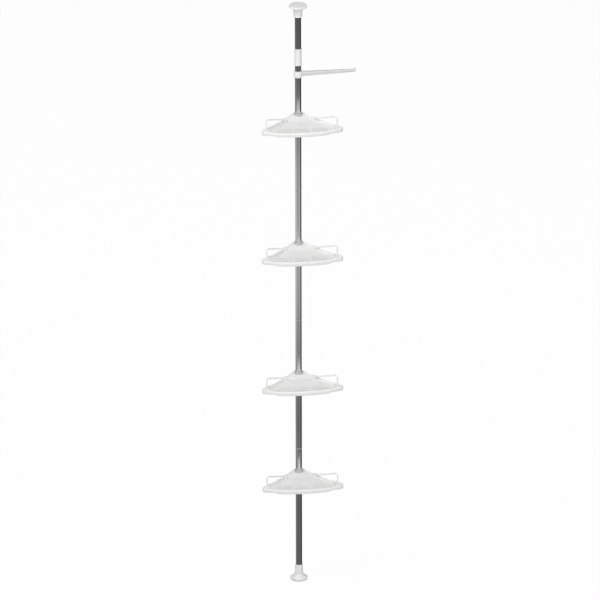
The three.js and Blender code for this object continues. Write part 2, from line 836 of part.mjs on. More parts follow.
function addTray(height, index) {
  const name = `tray_${index + 1}`;
  const group = groupAt(height);
  place(group, name, tray(), white);
  place(group, `${name}_rail_left`, rail(-1), white);
  place(group, `${name}_rail_right`, rail(1), white);
  place(group, `${name}_clip_left`, trayClipHalf(-1), nylon);
  place(group, `${name}_clip_right`, trayClipHalf(1), nylon);
}

function addTowelArm() {
  const group = groupAt(armHeight);
  place(group, 'towel_arm', towelArm(), white);
  place(group, 'towel_arm_clip_left', armClipHalf(-1), nylon);
  place(group, 'towel_arm_clip_right', armClipHalf(1), nylon);
}

addPole();
trayHeightShares.forEach((share, index) => addTray(share * lowerPoleTop, index));
addTowelArm();

export default unit;
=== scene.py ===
"""A tension pole shelf unit: chrome pole, four white corner trays and a towel arm."""
import math

import bpy
from mathutils import Matrix, Vector


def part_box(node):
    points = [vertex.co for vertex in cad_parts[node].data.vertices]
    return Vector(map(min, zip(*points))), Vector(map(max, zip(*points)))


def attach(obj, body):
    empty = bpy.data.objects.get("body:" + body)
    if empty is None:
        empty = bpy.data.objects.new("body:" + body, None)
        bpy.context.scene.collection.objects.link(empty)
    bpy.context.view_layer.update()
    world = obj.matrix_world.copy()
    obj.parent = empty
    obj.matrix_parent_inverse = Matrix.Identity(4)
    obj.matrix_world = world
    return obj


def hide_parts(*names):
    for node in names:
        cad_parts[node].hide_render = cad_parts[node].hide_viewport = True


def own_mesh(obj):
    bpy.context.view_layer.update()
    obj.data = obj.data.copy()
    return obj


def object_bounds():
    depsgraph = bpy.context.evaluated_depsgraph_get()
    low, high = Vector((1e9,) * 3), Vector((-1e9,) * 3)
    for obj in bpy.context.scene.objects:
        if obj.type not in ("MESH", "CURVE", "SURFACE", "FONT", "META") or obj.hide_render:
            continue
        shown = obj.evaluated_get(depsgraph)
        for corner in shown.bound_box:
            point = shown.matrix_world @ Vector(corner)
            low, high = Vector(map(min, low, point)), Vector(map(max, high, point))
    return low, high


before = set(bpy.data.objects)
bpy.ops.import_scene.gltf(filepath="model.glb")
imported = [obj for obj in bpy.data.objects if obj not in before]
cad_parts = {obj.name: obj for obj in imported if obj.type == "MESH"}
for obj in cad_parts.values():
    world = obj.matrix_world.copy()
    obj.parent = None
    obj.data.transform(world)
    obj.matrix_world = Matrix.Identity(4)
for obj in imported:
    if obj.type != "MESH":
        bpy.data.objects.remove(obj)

cad_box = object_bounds()

# Camera, from the photograph
PIXELS = 600
METRES_PER_PIXEL = 0.00397
AZIMUTH = math.radians(-6.6)
ELEVATION = math.radians(23)
ROLL = math.radians(-0.11)
LENS = 1600
SENSOR = 36
CENTRE_HEIGHT = 1.2075
CENTRE_SIDE = 0.006
CLIP_DISTANCES = 4

# Fineness of the round surfaces
POLE_SIDES = 96
HOLE_SIDES = 48
FLOOR_SIDES = 96
ROD_SIDES = 20
FLARE_STEPS = 14
EDGE_ROUND = 0.0005
EDGE_SEGMENTS = 3
SMOOTH_ANGLE = math.radians(32)
CUT_REACH = 0.004
WELD = 0.0003
MERGE = 0.00001

# Pole
TUBE_COUNT = 4
POLE_RADIUS = 0.0125
TUBE_WALL = 0.0012
# Rings near a tube's ends keep the tilt of their rounded edges off the long wall between
TUBE_END_BAND = 0.002
CLEARANCE = 0.0003
SOCKET_RADIUS = POLE_RADIUS + CLEARANCE
SOCKET_FLOOR = 0.012
SLEEVE_WALL = 0.0013
SLEEVE_BEAD = 0.001
SLEEVE_BEAD_HEIGHT = 0.005
SLEEVE_LEDGE = 0.0025
SLEEVE_OVERLAP = 0.019
SPRING_LENGTH = 0.08
SPRING_RADIUS = 0.0096
SPRING_WIRE = 0.0012
SPRING_TURNS = 11
SPRING_STEPS = 20

# Feet and pads
FOOT_RADIUS = 0.036
FOOT_HEIGHT = 0.065
FOOT_NECK = 0.0146
FOOT_WAIST = 0.0164
FOOT_WAIST_HEIGHT = 0.03
FOOT_EDGE_HEIGHT = 0.01
FOOT_SOLE = 0.033
FOOT_BEVEL = 0.0015
TOP_FOOT_HEIGHT = 0.05
TOP_NECK = 0.017
TOP_NECK_HEIGHT = 0.016
TOP_BEAD = 0.0008
TOP_BEAD_HEIGHT = 0.003
TOP_RIM_HEIGHT = 0.0085
PAD_RADIUS = 0.03
PAD_THICKNESS = 0.0032
PAD_PROUD = 0.0012

# Clips
CLIP_WALL = 0.0012
CLIP_TAPER = 0.0024
CLIP_SPLIT = 0.0006
CLIP_FLANGE = 0.0016
CLIP_FLANGE_HEIGHT = 0.0025
CLIP_PROUD = 0.001

# Trays, measured from the plane of their ears
TRAY_COUNT = 4
TRAY_HALF_WIDTH = 0.162
TIP_RADIUS = 0.015
FRONT_BOW = 0.0208
EDGE_SETBACK = 0.027
FRONT_STEPS = 64
TIP_STEPS = 14
BACK_STEPS = 16
HUB_STEPS = 16
TRAY_WALL = 0.0024
RIM_WIDTH = 0.0046
RIM_BEAD = 0.0045
RIM_INNER_SHARE = 0.3
COVE_WIDTH = 0.0044
COVE_HEIGHT = 0.0035
SKIRT_DRAFT = 0.0015
FRONT_RIM = 0.004
EAR_HEIGHT = 0.008
EDGE_LOW = 0.005
SHOULDER_HEIGHT = 0.009
HUB_RIM = 0.0185
EAR_INSET = 0.032
EAR_BLEND = 0.014
SHOULDER_HALF_WIDTH = 0.062
BOWL_HALF_WIDTH = 0.118
BOWL_BLEND = 0.02
BOWL_SKIRT = 0.014
EAR_SKIRT = 0.0095
FLOOR_DROP = 0.007
DECK_DEPTH = 0.036
DECK_STEP = 0.0012
DECK_FRONT = 0.0078
DECK_BACK = 0.01
BOSS_WALL = 0.0024
BOSS_BOTTOM = 0.022
GUSSET_THICKNESS = 0.003
GUSSET_REACH = 0.095
GUSSET_COUNT = 3
GUSSET_SPREAD = math.radians(50)
BOSS_RADIUS = SOCKET_RADIUS + CLIP_WALL + CLIP_TAPER + CLEARANCE + BOSS_WALL
HUB_RADIUS = EDGE_SETBACK / math.sqrt(2)
CLIP_TOP = HUB_RIM + CLIP_PROUD
CLIP_BOTTOM = -BOSS_BOTTOM - CLIP_FLANGE_HEIGHT - CLEARANCE

# Drainage slots
SLOT_ROWS = 4
SLOT_COLUMNS = 3
SLOT_WIDTH = 0.005
SLOT_PITCH = 0.013
SLOT_FRONT_INSET = 0.021
SLOT_BRIDGE = 0.012
SLOT_STEPS = 8
SLOT_END_STEPS = 6
SLOT_REACH_SHARES = (0.66, 0.64, 0.6, 0.55)

# Rails
RAIL_RADIUS = 0.0028
RAIL_HEIGHT = 0.046
RAIL_BEND = 0.013
RAIL_BEND_STEPS = 14
RAIL_POST_INSET = 0.021
RAIL_EDGE_INSET = 0.0064
RAIL_SHOULDER_X = 0.062
RAIL_SHOULDER_INSET = 0.01
RAIL_SHOULDER_HEIGHT = 0.012
RAIL_SEAT = 0.0075
RAIL_BOSS_MIDDLE = 0.0045
RAIL_EAR_SEAT = 0.007
SOCKET_WALL = 0.0024
SOCKET_HEIGHT = 0.0164

# Towel arm
ARM_COLLAR_HEIGHT = 0.025
ARM_COLLAR_WALL = 0.0018
ARM_CLIP_WALL = 0.0016
ARM_CLIP_TAPER = 0.0008
ARM_REACH = 0.229
ARM_ROOT_HEIGHT = 0.019
ARM_TIP_HEIGHT = 0.011
ARM_ROOT_WIDTH = 0.01
ARM_TIP_WIDTH = 0.008
ARM_NUB_HEIGHT = 0.004
ARM_NUB_LENGTH = 0.009
ARM_TROUGH_DEPTH = 0.008
ARM_TROUGH_WALL = 0.0022
ARM_TROUGH_START = 0.008
ARM_TROUGH_END = 0.044
# Where the arm's painted shade fades in, out from the pole's axis
ARM_PAINTED_SHADE_START = 0.0165
ARM_PAINTED_SHADE_END = 0.0195

# Materials
CLOUD_DARK_END = 0.3
CLOUD_LIGHT_START = 0.7

# Stage
FLOOR_RADIUS = 60
FLOOR_HEIGHT = -0.0002
FLOOR_PALE = 0.95
FLOOR_GREY = 0.62
AMBIENT_STRENGTH = 0.55
# Painted reflections: the floor's glow as metal sees it, by the direction from the pole.
# The share of a turn starts at -X (left), passes -Y (front) at a quarter, +X (right) at a half
# and +Y behind.
PAINTED_REFLECTION_TONES = (
    (0.0, 0.52), (0.1, 0.36), (0.22, 0.27), (0.3, 0.42), (0.4, 0.36),
    (0.46, 0.1), (0.55, 0.035), (0.7, 0.04), (0.8, 0.42), (1.0, 0.52),
)
# The same by the distance from the pole, as a share of the lit floor's radius
FLOOR_REACH = 8
PAINTED_REFLECTION_DISTANCE_TONES = (
    (0.0, 0.24), (0.1, 0.24), (0.16, 0.35), (0.21, 0.28), (0.3, 0.5), (0.37, 0.74),
    (0.47, 0.78), (0.53, 0.74), (0.62, 0.32), (0.65, 0.25), (0.75, 0.14), (1.0, 0.45),
)
PAINTED_REFLECTION_STRENGTH = 2
FLOOR_WHITE_SHARE = 0.95

TIP_CENTRE = Vector((
    TRAY_HALF_WIDTH - TIP_RADIUS,
    EDGE_SETBACK - math.sqrt(2) * TIP_RADIUS - (TRAY_HALF_WIDTH - TIP_RADIUS),
))
TRAY_DEPTH = TIP_RADIUS + FRONT_BOW - TIP_CENTRE.y
FRONT_RISE = TIP_CENTRE.y + TRAY_DEPTH
FRONT_RADIUS = (
    (TIP_CENTRE.x ** 2 + FRONT_RISE ** 2 - TIP_RADIUS ** 2) / (2 * (FRONT_RISE - TIP_RADIUS))
)
FRONT_CENTRE = Vector((0, FRONT_RADIUS - TRAY_DEPTH))
EAR_START = TRAY_HALF_WIDTH - EAR_INSET - EAR_BLEND


# Handling of pieces

def deselect():
    bpy.ops.object.select_all(action="DESELECT")


def activate(piece):
    deselect()
    piece.select_set(True)
    bpy.context.view_layer.objects.active = piece


def edit(piece):
    activate(piece)
    bpy.ops.object.mode_set(mode="EDIT")


def leave_edit():
    bpy.ops.object.mode_set(mode="OBJECT")


def place(piece):
    """Puts a piece's place, turn and scale into its mesh."""
    activate(piece)
    bpy.ops.object.transform_apply(location=True, rotation=True, scale=True)
    return piece


def recalculated(piece):
    """Merges a shell's doubled points and turns its faces outwards."""
    edit(piece)
    bpy.ops.mesh.select_all(action="SELECT")
    bpy.ops.mesh.remove_doubles(threshold=MERGE)
    bpy.ops.mesh.normals_make_consistent(inside=False)
    leave_edit()
    return piece


def rounded(piece, width=EDGE_ROUND, segments=EDGE_SEGMENTS):
    bevel = piece.modifiers.new("round", "BEVEL")
    bevel.width = width
    bevel.segments = segments
    bevel.limit_method = "ANGLE"
    bevel.angle_limit = SMOOTH_ANGLE
    activate(piece)
    bpy.ops.object.modifier_apply(modifier=bevel.name)
    return piece


def smooth(piece):
    activate(piece)
    bpy.ops.object.shade_smooth_by_angle(angle=SMOOTH_ANGLE)
    return piece


def combine(piece, operation, *others):
    """Joins other bodies to a piece or cuts them from it, and removes them."""
    for other in others:
        boolean = piece.modifiers.new("combine", "BOOLEAN")
        boolean.operation = operation
        boolean.solver = "EXACT"
        boolean.object = other
        activate(piece)
        bpy.ops.object.modifier_apply(modifier=boolean.name)
        bpy.data.objects.remove(other)
    return piece


def mirrored(piece, name):
    """A copy of a piece on the other side of the pole, with a mesh of its own."""
    twin = piece.copy()
    twin.data = piece.data.copy()
    twin.name = name
    bpy.context.scene.collection.objects.link(twin)
    twin.scale.x = -1
    place(twin)
    return recalculated(twin)


def raised(piece, name, height):
    """A copy of a piece, with a mesh of its own, at a height on the pole."""
    twin = piece.copy()
    twin.data = piece.data.copy()
    twin.name = name
    bpy.context.scene.collection.objects.link(twin)
    twin.location.z = height
    return place(twin)


# Shapes that several pieces start from

def turned(name, stations, sides=POLE_SIDES):
    """A closed profile of radius and height, extruded ring by ring round the pole's axis.

    A profile that starts and ends on the axis is capped there instead.
    """
    capped = stations[0][0] == 0
    rings = stations[1:-1] if capped else stations
    radius, height = rings[0]
    deselect()
    fill = "NGON" if capped else "NOTHING"
    bpy.ops.mesh.primitive_circle_add(
        vertices=sides, radius=radius, fill_type=fill, location=(0, 0, height))
    piece = bpy.context.object
    piece.name = name
    place(piece)
    edit(piece)
    bpy.ops.mesh.select_all(action="SELECT")
    following = rings[1:] if capped else rings[1:] + rings[:1]
    for next_radius, next_height in following:
        rise = (0, 0, next_height - height)
        bpy.ops.mesh.extrude_region_move(TRANSFORM_OT_translate={"value": rise})
        factor = next_radius / radius
        bpy.ops.transform.resize(value=(factor, factor, 1), center_override=(0, 0, next_height))
        radius, height = next_radius, next_height
    leave_edit()
    return recalculated(piece)


def prism(name, outline, bottom, top):
    """An outline of X and Y, filled and extruded upwards."""
    deselect()
    bpy.ops.mesh.primitive_circle_add(vertices=len(outline), fill_type="NGON", location=(0, 0, 0))
    piece = bpy.context.object
    piece.name = name
    for vertex, (x, y) in zip(piece.data.vertices, outline):
        vertex.co = (x, y, bottom)
    edit(piece)
    bpy.ops.mesh.select_all(action="SELECT")
    bpy.ops.mesh.extrude_region_move(TRANSFORM_OT_translate={"value": (0, 0, top - bottom)})
    leave_edit()
    return recalculated(piece)


def side_prism(name, profile, width):
    """A profile of X and Z, extruded along Y and centred on it."""
    piece = prism(name, profile, -width / 2, width / 2)
    piece.rotation_euler.x = math.pi / 2
    return place(piece)


def cross_prism(name, profile, width):
    """A profile of Y and Z, extruded along X and centred on it."""
    piece = side_prism(name, profile, width)
    piece.rotation_euler.z = math.pi / 2
    return place(piece)


def flare(wide, low, narrow, high):
    """Stations of a quarter-like flare from a wide edge to a narrow neck."""
    stations = []
    for step in range(FLARE_STEPS + 1):
        angle = math.pi / 2 * step / FLARE_STEPS
        radius = wide + (narrow - wide) * math.sin(angle)
        stations.append((radius, high + (low - high) * math.cos(angle)))
    return stations


def blend(value, low, high):
    share = min(max((value - low) / (high - low), 0), 1)
    return share * share * (3 - 2 * share)


def between(value, low, high, at_low, at_high):
    return at_low + (at_high - at_low) * (value - low) / (high - low)


def arc(centre, radius, start, end, steps):
    points = []
    for step in range(steps + 1):
        angle = start + (end - start) * step / steps
        points.append(Vector((
            centre.x + radius * math.cos(angle), centre.y + radius * math.sin(angle),
        )))
    return points


# Pole

def pole_tube(name):
    low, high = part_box(name)
    bore = POLE_RADIUS - TUBE_WALL
    piece = turned(name + "_bright", [
        (bore, low.z), (POLE_RADIUS, low.z), (POLE_RADIUS, low.z + TUBE_END_BAND),
        (POLE_RADIUS, high.z - TUBE_END_BAND), (POLE_RADIUS, high.z), (bore, high.z),
    ])
    return smooth(rounded(piece, TUBE_WALL / 4))


def tension_sleeve():
    low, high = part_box("tension_sleeve")
    body = SOCKET_RADIUS + SLEEVE_WALL
    bead = body + SLEEVE_BEAD
    ledge_bore = POLE_RADIUS - TUBE_WALL
    ledge_bottom = low.z + SLEEVE_OVERLAP + CLEARANCE
    ledge_top = ledge_bottom + SLEEVE_LEDGE
    bead_top = low.z + SLEEVE_BEAD_HEIGHT
    bead_bottom = high.z - SLEEVE_BEAD_HEIGHT
    piece = turned("tension_sleeve_moulding", [
        (SOCKET_RADIUS, low.z), (bead, low.z), (bead, bead_top), (body, bead_top + SLEEVE_BEAD),
        (body, bead_bottom - SLEEVE_BEAD), (bead, bead_bottom), (bead, high.z),
        (SOCKET_RADIUS, high.z), (SOCKET_RADIUS, ledge_top), (ledge_bore, ledge_top),
        (ledge_bore, ledge_bottom), (SOCKET_RADIUS, ledge_bottom),
    ])
    return smooth(rounded(piece, EDGE_ROUND / 2))


def tension_spring():
    """A wire coil on top of the guide rod, whose first and last turns lie almost flat."""
    bottom = spring_foot() + SPRING_WIRE
    rise = SPRING_LENGTH - 2 * SPRING_WIRE
    seat_pitch = 2 * (SPRING_WIRE + CLEARANCE)
    working_pitch = (rise - 2 * seat_pitch) / (SPRING_TURNS - 2)
    points = []
    for step in range(SPRING_TURNS * SPRING_STEPS + 1):
        turn = step / SPRING_STEPS
        seated = min(turn, 1) + max(turn - (SPRING_TURNS - 1), 0)
        height = bottom + seated * seat_pitch + (turn - seated) * working_pitch
        angle = 2 * math.pi * turn
        points.append(Vector((
            SPRING_RADIUS * math.cos(angle), SPRING_RADIUS * math.sin(angle), height,
        )))
    return rod("tension_spring_coil", points, SPRING_WIRE)


def spring_foot():
    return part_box("guide_rod")[1].z + CLEARANCE


def foot_pad(name, upside_down=False):
    piece = turned(name + "_rubber", [
        (0, 0), (PAD_RADIUS - PAD_PROUD, 0), (PAD_RADIUS, PAD_PROUD), (PAD_RADIUS, PAD_THICKNESS),
        (0, PAD_THICKNESS),
    ])
    rounded(piece, EDGE_ROUND / 2)
    return smooth(hung(piece) if upside_down else piece)


def hung(piece):
    """Turns a piece over and hangs it from the top of the unit."""
    piece.rotation_euler.x = math.pi
    piece.location.z = cad_box[1][2]
    return place(piece)


def bottom_foot():
    edge = PAD_RADIUS + CLEARANCE
    recess = PAD_THICKNESS + CLEARANCE
    piece = turned("bottom_foot_moulding", [
        (0, recess), (edge, recess), (edge, PAD_PROUD), (FOOT_SOLE, PAD_PROUD),
        (FOOT_RADIUS - FOOT_BEVEL, FOOT_EDGE_HEIGHT / 2),
        (FOOT_RADIUS, FOOT_EDGE_HEIGHT - FOOT_BEVEL),
        *flare(FOOT_RADIUS - FOOT_BEVEL / 2, FOOT_EDGE_HEIGHT, FOOT_WAIST, FOOT_WAIST_HEIGHT),
        (FOOT_NECK, FOOT_HEIGHT), (SOCKET_RADIUS, FOOT_HEIGHT), (SOCKET_RADIUS, SOCKET_FLOOR),
        (0, SOCKET_FLOOR),
    ])
    return smooth(rounded(piece))


def top_foot():
    edge = PAD_RADIUS + CLEARANCE
    recess = PAD_THICKNESS + CLEARANCE
    neck_low = TOP_FOOT_HEIGHT - TOP_NECK_HEIGHT
    bead_low = TOP_FOOT_HEIGHT - TOP_BEAD_HEIGHT
    bead = TOP_NECK + TOP_BEAD
    piece = turned("top_foot_moulding", [
        (0, recess), (edge, recess), (edge, PAD_PROUD), (FOOT_RADIUS - FOOT_BEVEL, PAD_PROUD),
        (FOOT_RADIUS, PAD_PROUD + FOOT_BEVEL),
        *flare(FOOT_RADIUS, TOP_RIM_HEIGHT, TOP_NECK, neck_low),
        (TOP_NECK, bead_low), (bead, bead_low + TOP_BEAD), (bead, TOP_FOOT_HEIGHT),
        (SOCKET_RADIUS, TOP_FOOT_HEIGHT), (SOCKET_RADIUS, SOCKET_FLOOR), (0, SOCKET_FLOOR),
    ])
    rounded(piece, EDGE_ROUND / 2)
    return smooth(hung(piece))


# Clips

def clip_half(name, bottom, top, wall, taper, flanged):
    """The right half of a tapered split ring, narrow at its top."""
    outer = SOCKET_RADIUS + wall + taper
    profile = [(SOCKET_RADIUS, bottom)]
    if flanged:
        flange_top = bottom + CLIP_FLANGE_HEIGHT
        profile += [
            (outer + CLIP_FLANGE, bottom), (outer + CLIP_FLANGE, flange_top), (outer, flange_top),
        ]
    else:
        profile += [(outer, bottom)]
    profile += [(outer - taper, top), (SOCKET_RADIUS, top)]
    piece = turned(name, profile)
    edit(piece)
    bpy.ops.mesh.select_all(action="SELECT")
    bpy.ops.mesh.bisect(
        plane_co=(CLIP_SPLIT / 2, 0, 0), plane_no=(1, 0, 0), use_fill=True, clear_inner=True)
    leave_edit()
    rounded(recalculated(piece), EDGE_ROUND / 2, segments=2)
    return smooth(piece)


def clip_bore(bottom, top, wall, taper):
    """The tapered body that is cut away for a pair of clip halves."""
    slope = taper / (top - bottom)
    wide = SOCKET_RADIUS + wall + taper + CLEARANCE
    return turned("bore", [
        (0, bottom - CUT_REACH), (wide + slope * CUT_REACH, bottom - CUT_REACH),
        (wide - taper - slope * CUT_REACH, top + CUT_REACH), (0, top + CUT_REACH),
    ])


# Trays

def tray_outline(inset):
    """The outline from above: front arc, tips, straight back edges and the hub's arc."""
    meet = math.atan2(TIP_CENTRE.y - FRONT_CENTRE.y, TIP_CENTRE.x - FRONT_CENTRE.x)
    half = arc(FRONT_CENTRE, FRONT_RADIUS - inset, -math.pi / 2, meet, FRONT_STEPS // 2)
    half += arc(TIP_CENTRE, TIP_RADIUS - inset, meet, math.pi / 4, TIP_STEPS)[1:]
    hub = arc(Vector((0, 0)), HUB_RADIUS - inset, math.pi / 4, math.pi / 2, HUB_STEPS // 2)
    edge_start = half[-1]
    half += [edge_start.lerp(hub[0], step / BACK_STEPS) for step in range(1, BACK_STEPS)]
    half += hub
    return half + [Vector((-point.x, point.y)) for point in reversed(half[1:-1])]


def is_behind(point):
    return point.y >= EDGE_SETBACK - TIP_RADIUS * math.sqrt(2) - abs(point.x)


def back_edge_height(side):
    if side > SHOULDER_HALF_WIDTH:
        height = between(side, EAR_START, SHOULDER_HALF_WIDTH, EDGE_LOW, SHOULDER_HEIGHT)
        return max(height, EDGE_LOW)
    return min(between(side, SHOULDER_HALF_WIDTH, HUB_RADIUS, SHOULDER_HEIGHT, HUB_RIM), HUB_RIM)


def rim_height(point):
    side = abs(point.x)
    edge = back_edge_height(side) if is_behind(point) else FRONT_RIM
    return edge + (EAR_HEIGHT - edge) * blend(side, EAR_START, EAR_START + EAR_BLEND)


def skirt_height(point):
    bowl_start = BOWL_HALF_WIDTH - BOWL_BLEND
    shallow = 1 if is_behind(point) else blend(abs(point.x), bowl_start, BOWL_HALF_WIDTH)
    return -BOWL_SKIRT + (BOWL_SKIRT - EAR_SKIRT) * shallow


def floor_height(y):
    return between(y, -DECK_DEPTH, -TRAY_DEPTH, 0, -FLOOR_DROP)


def ring(inset, height_at):
    """The outline drawn in by an inset; a height comes from the outer point and the inner one."""
    outer = tray_outline(0)
    return [Vector((p.x, p.y, height_at(o, p))) for o, p in zip(outer, tray_outline(inset))]


def tray_shell():
    """Skirt, rolled rim, cove and sloping floor, extruded ring by ring from below."""
    skirt_inset = RIM_WIDTH - TRAY_WALL / 4
    inner_drop = RIM_BEAD * RIM_INNER_SHARE
    cove = RIM_WIDTH + SKIRT_DRAFT
    rings = [
        ring(skirt_inset, lambda o, p: floor_height(p.y) - TRAY_WALL),
        ring(skirt_inset, lambda o, p: skirt_height(o)),
        ring(SKIRT_DRAFT, lambda o, p: skirt_height(o)),
        ring(0, lambda o, p: rim_height(o) - RIM_BEAD),
        ring(RIM_WIDTH / 4, lambda o, p: rim_height(o) - inner_drop),
        ring(RIM_WIDTH / 2, lambda o, p: rim_height(o)),
        ring(RIM_WIDTH, lambda o, p: rim_height(o) - inner_drop),
        ring(cove, lambda o, p: floor_height(p.y) + COVE_HEIGHT),
        ring(cove + COVE_WIDTH / 3, lambda o, p: floor_height(p.y) + COVE_HEIGHT / 4),
        ring(cove + COVE_WIDTH, lambda o, p: floor_height(p.y)),
    ]
    count = len(rings[0])
    deselect()
    bpy.ops.mesh.primitive_circle_add(vertices=count, fill_type="NGON", location=(0, 0, 0))
    piece = bpy.context.object
    piece.name = "tray_moulding"
    for _ in rings[1:]:
        edit(piece)
        bpy.ops.mesh.extrude_region_move(TRANSFORM_OT_translate={"value": (0, 0, 0)})
        leave_edit()
    for vertex, target in zip(piece.data.vertices, shell_points(piece, rings)):
        vertex.co = target
    recalculated(piece)
    return rounded(piece, EDGE_ROUND)


def shell_points(piece, rings):
    """The rings' points in the order of the vertices, which extruding adds one ring at a time."""
    points = [point for each in rings for point in each]
    if len(points) != len(piece.data.vertices):
        raise ValueError("the extruded rings and the wanted rings differ in number")
    return points


def tray_deck():
    """The corner deck that slopes up to the hub, between the high back walls."""
    back = HUB_RADIUS + CUT_REACH
    deck = cross_prism("deck", [
        (-DECK_DEPTH, -TRAY_WALL), (back, -TRAY_WALL), (back, DECK_BACK),
        (-SOCKET_RADIUS - CLIP_WALL, DECK_FRONT), (-DECK_DEPTH, DECK_STEP),
    ], 2 * TRAY_HALF_WIDTH)
    bound = prism("bound", tray_outline(RIM_WIDTH / 2), -EAR_SKIRT, HUB_RIM)
    return combine(deck, "INTERSECT", bound)


def ear_cap():
    """The flat cap on the right ear, into which a rail's post is pushed."""
    inner = TRAY_HALF_WIDTH - EAR_INSET
    cap_top = EAR_HEIGHT - RIM_BEAD * RIM_INNER_SHARE
    cap = prism("cap", [
        (inner, -TRAY_DEPTH), (TRAY_HALF_WIDTH, -TRAY_DEPTH), (TRAY_HALF_WIDTH, 0), (inner, 0),
    ], -EAR_SKIRT + TRAY_WALL, cap_top)
    bound = prism("bound", tray_outline(RIM_WIDTH / 2), -EAR_SKIRT, EAR_HEIGHT + CUT_REACH)
    return combine(cap, "INTERSECT", bound)


def gusset(angle):
    """One of the upright webs that carry the floor from the boss."""
    inner = BOSS_RADIUS - WELD
    tip = floor_height(-GUSSET_REACH) - TRAY_WALL
    web = side_prism("web", [
        (inner, TRAY_WALL - BOSS_BOTTOM), (inner, -WELD),
        (GUSSET_REACH, tip + WELD), (GUSSET_REACH, tip - WELD),
    ], GUSSET_THICKNESS)
    web.rotation_euler.z = angle
    return place(web)


def slot_bodies():
    """Curved slots with round ends that follow the front edge, as bodies to cut away."""
    bodies = []
    half_width = SLOT_WIDTH / 2
    for row in range(SLOT_ROWS):
        radius = FRONT_RADIUS - SLOT_FRONT_INSET - row * SLOT_PITCH
        reach = math.asin(TRAY_HALF_WIDTH * SLOT_REACH_SHARES[row] / radius)
        bridge = SLOT_BRIDGE / radius
        span = (2 * reach - (SLOT_COLUMNS - 1) * bridge) / SLOT_COLUMNS
        for column in range(SLOT_COLUMNS):
            start = -math.pi / 2 - reach + column * (span + bridge)
            end = start + span
            trim = half_width / radius
            first = FRONT_CENTRE + radius * Vector((math.cos(start + trim), math.sin(start + trim)))
            last = FRONT_CENTRE + radius * Vector((math.cos(end - trim), math.sin(end - trim)))
            outline = arc(FRONT_CENTRE, radius + half_width, start + trim, end - trim, SLOT_STEPS)
            outline += arc(last, half_width, end - trim, end - trim + math.pi, SLOT_END_STEPS)[1:-1]
            outline += arc(FRONT_CENTRE, radius - half_width, end - trim, start + trim, SLOT_STEPS)
            outline += arc(first, half_width, start + trim + math.pi, start + trim + 2 * math.pi,
                           SLOT_END_STEPS)[1:-1]
            bodies.append(prism("slot", outline, -FLOOR_DROP - TRAY_WALL - CUT_REACH, CUT_REACH))
    return bodies


def on_back_edge(x, inset):
    return Vector((x, EDGE_SETBACK - inset * math.sqrt(2) - x))


def rail_route():
    """Foot, corner and mouth of the right rail, and the direction of its sloping run."""
    post = on_back_edge(TRAY_HALF_WIDTH - RAIL_POST_INSET, RAIL_EDGE_INSET)
    shoulder = on_back_edge(RAIL_SHOULDER_X, RAIL_SHOULDER_INSET)
    foot = Vector((post.x, post.y, EAR_HEIGHT - RAIL_EAR_SEAT))
    corner = Vector((post.x, post.y, RAIL_HEIGHT))
    mouth = Vector((shoulder.x, shoulder.y, RAIL_SHOULDER_HEIGHT))
    slope = (mouth - corner).normalized()
    return foot, corner, mouth, slope


def rail():
    """The right rail: straight post, bend and straight sloping run."""
    foot, corner, mouth, slope = rail_route()
    bend_start = corner - Vector((0, 0, RAIL_BEND))
    bend_end = corner + slope * RAIL_BEND
    points = [foot]
    for step in range(RAIL_BEND_STEPS + 1):
        share = step / RAIL_BEND_STEPS
        points.append(bend_start.lerp(corner, share).lerp(corner.lerp(bend_end, share), share))
    points.append(mouth + slope * RAIL_SEAT)
    return rod("rail_rod", points, RAIL_RADIUS)


def rod(name, points, radius):
    """A round rod through a line of points, drawn as a curve and made a mesh."""
    deselect()
    bpy.ops.curve.primitive_nurbs_path_add(location=(0, 0, 0))
    piece = bpy.context.object
    piece.name = name
    piece.data.splines.clear()
    run = piece.data.splines.new("POLY")
    run.points.add(len(points) - 1)
    for knot, point in zip(run.points, points):
        knot.co = (*point, 1)
    piece.data.dimensions = "3D"
    piece.data.bevel_depth = radius
    piece.data.bevel_resolution = ROD_SIDES // 4
    piece.data.use_fill_caps = True
    activate(piece)
    bpy.ops.object.convert(target="MESH")
    return smooth(recalculated(bpy.context.object))


def rail_sockets():
    """The shoulder boss and the two holes of the right rail."""
    foot, corner, mouth, slope = rail_route()
    hole = RAIL_RADIUS + CLEARANCE
    socket = hole + SOCKET_WALL
    middle = mouth + slope * RAIL_BOSS_MIDDLE
    boss = turned("boss", [
        (0, -TRAY_WALL), (socket, -TRAY_WALL), (socket, SOCKET_HEIGHT), (0, SOCKET_HEIGHT),
    ], HOLE_SIDES)
    rounded(boss, EDGE_ROUND)
    boss.location = (middle.x, middle.y, 0)
    place(boss)
    hole_low = EAR_HEIGHT - RAIL_EAR_SEAT - CLEARANCE
    ear_hole = turned("ear_hole", [
        (0, hole_low), (hole, hole_low),
        (hole, EAR_HEIGHT + CUT_REACH), (0, EAR_HEIGHT + CUT_REACH),
    ], HOLE_SIDES)
    ear_hole.location = (foot.x, foot.y, 0)
    place(ear_hole)
    deep, shallow = -RAIL_SEAT - CLEARANCE, socket + CUT_REACH
    shoulder_hole = turned("shoulder_hole", [
        (0, deep), (hole, deep), (hole, shallow), (0, shallow),
    ], HOLE_SIDES)
    turn = (-slope).to_track_quat("Z", "Y").to_matrix().to_4x4()
    shoulder_hole.matrix_world = Matrix.Translation(mouth) @ turn
    place(shoulder_hole)
    return boss, ear_hole, shoulder_hole


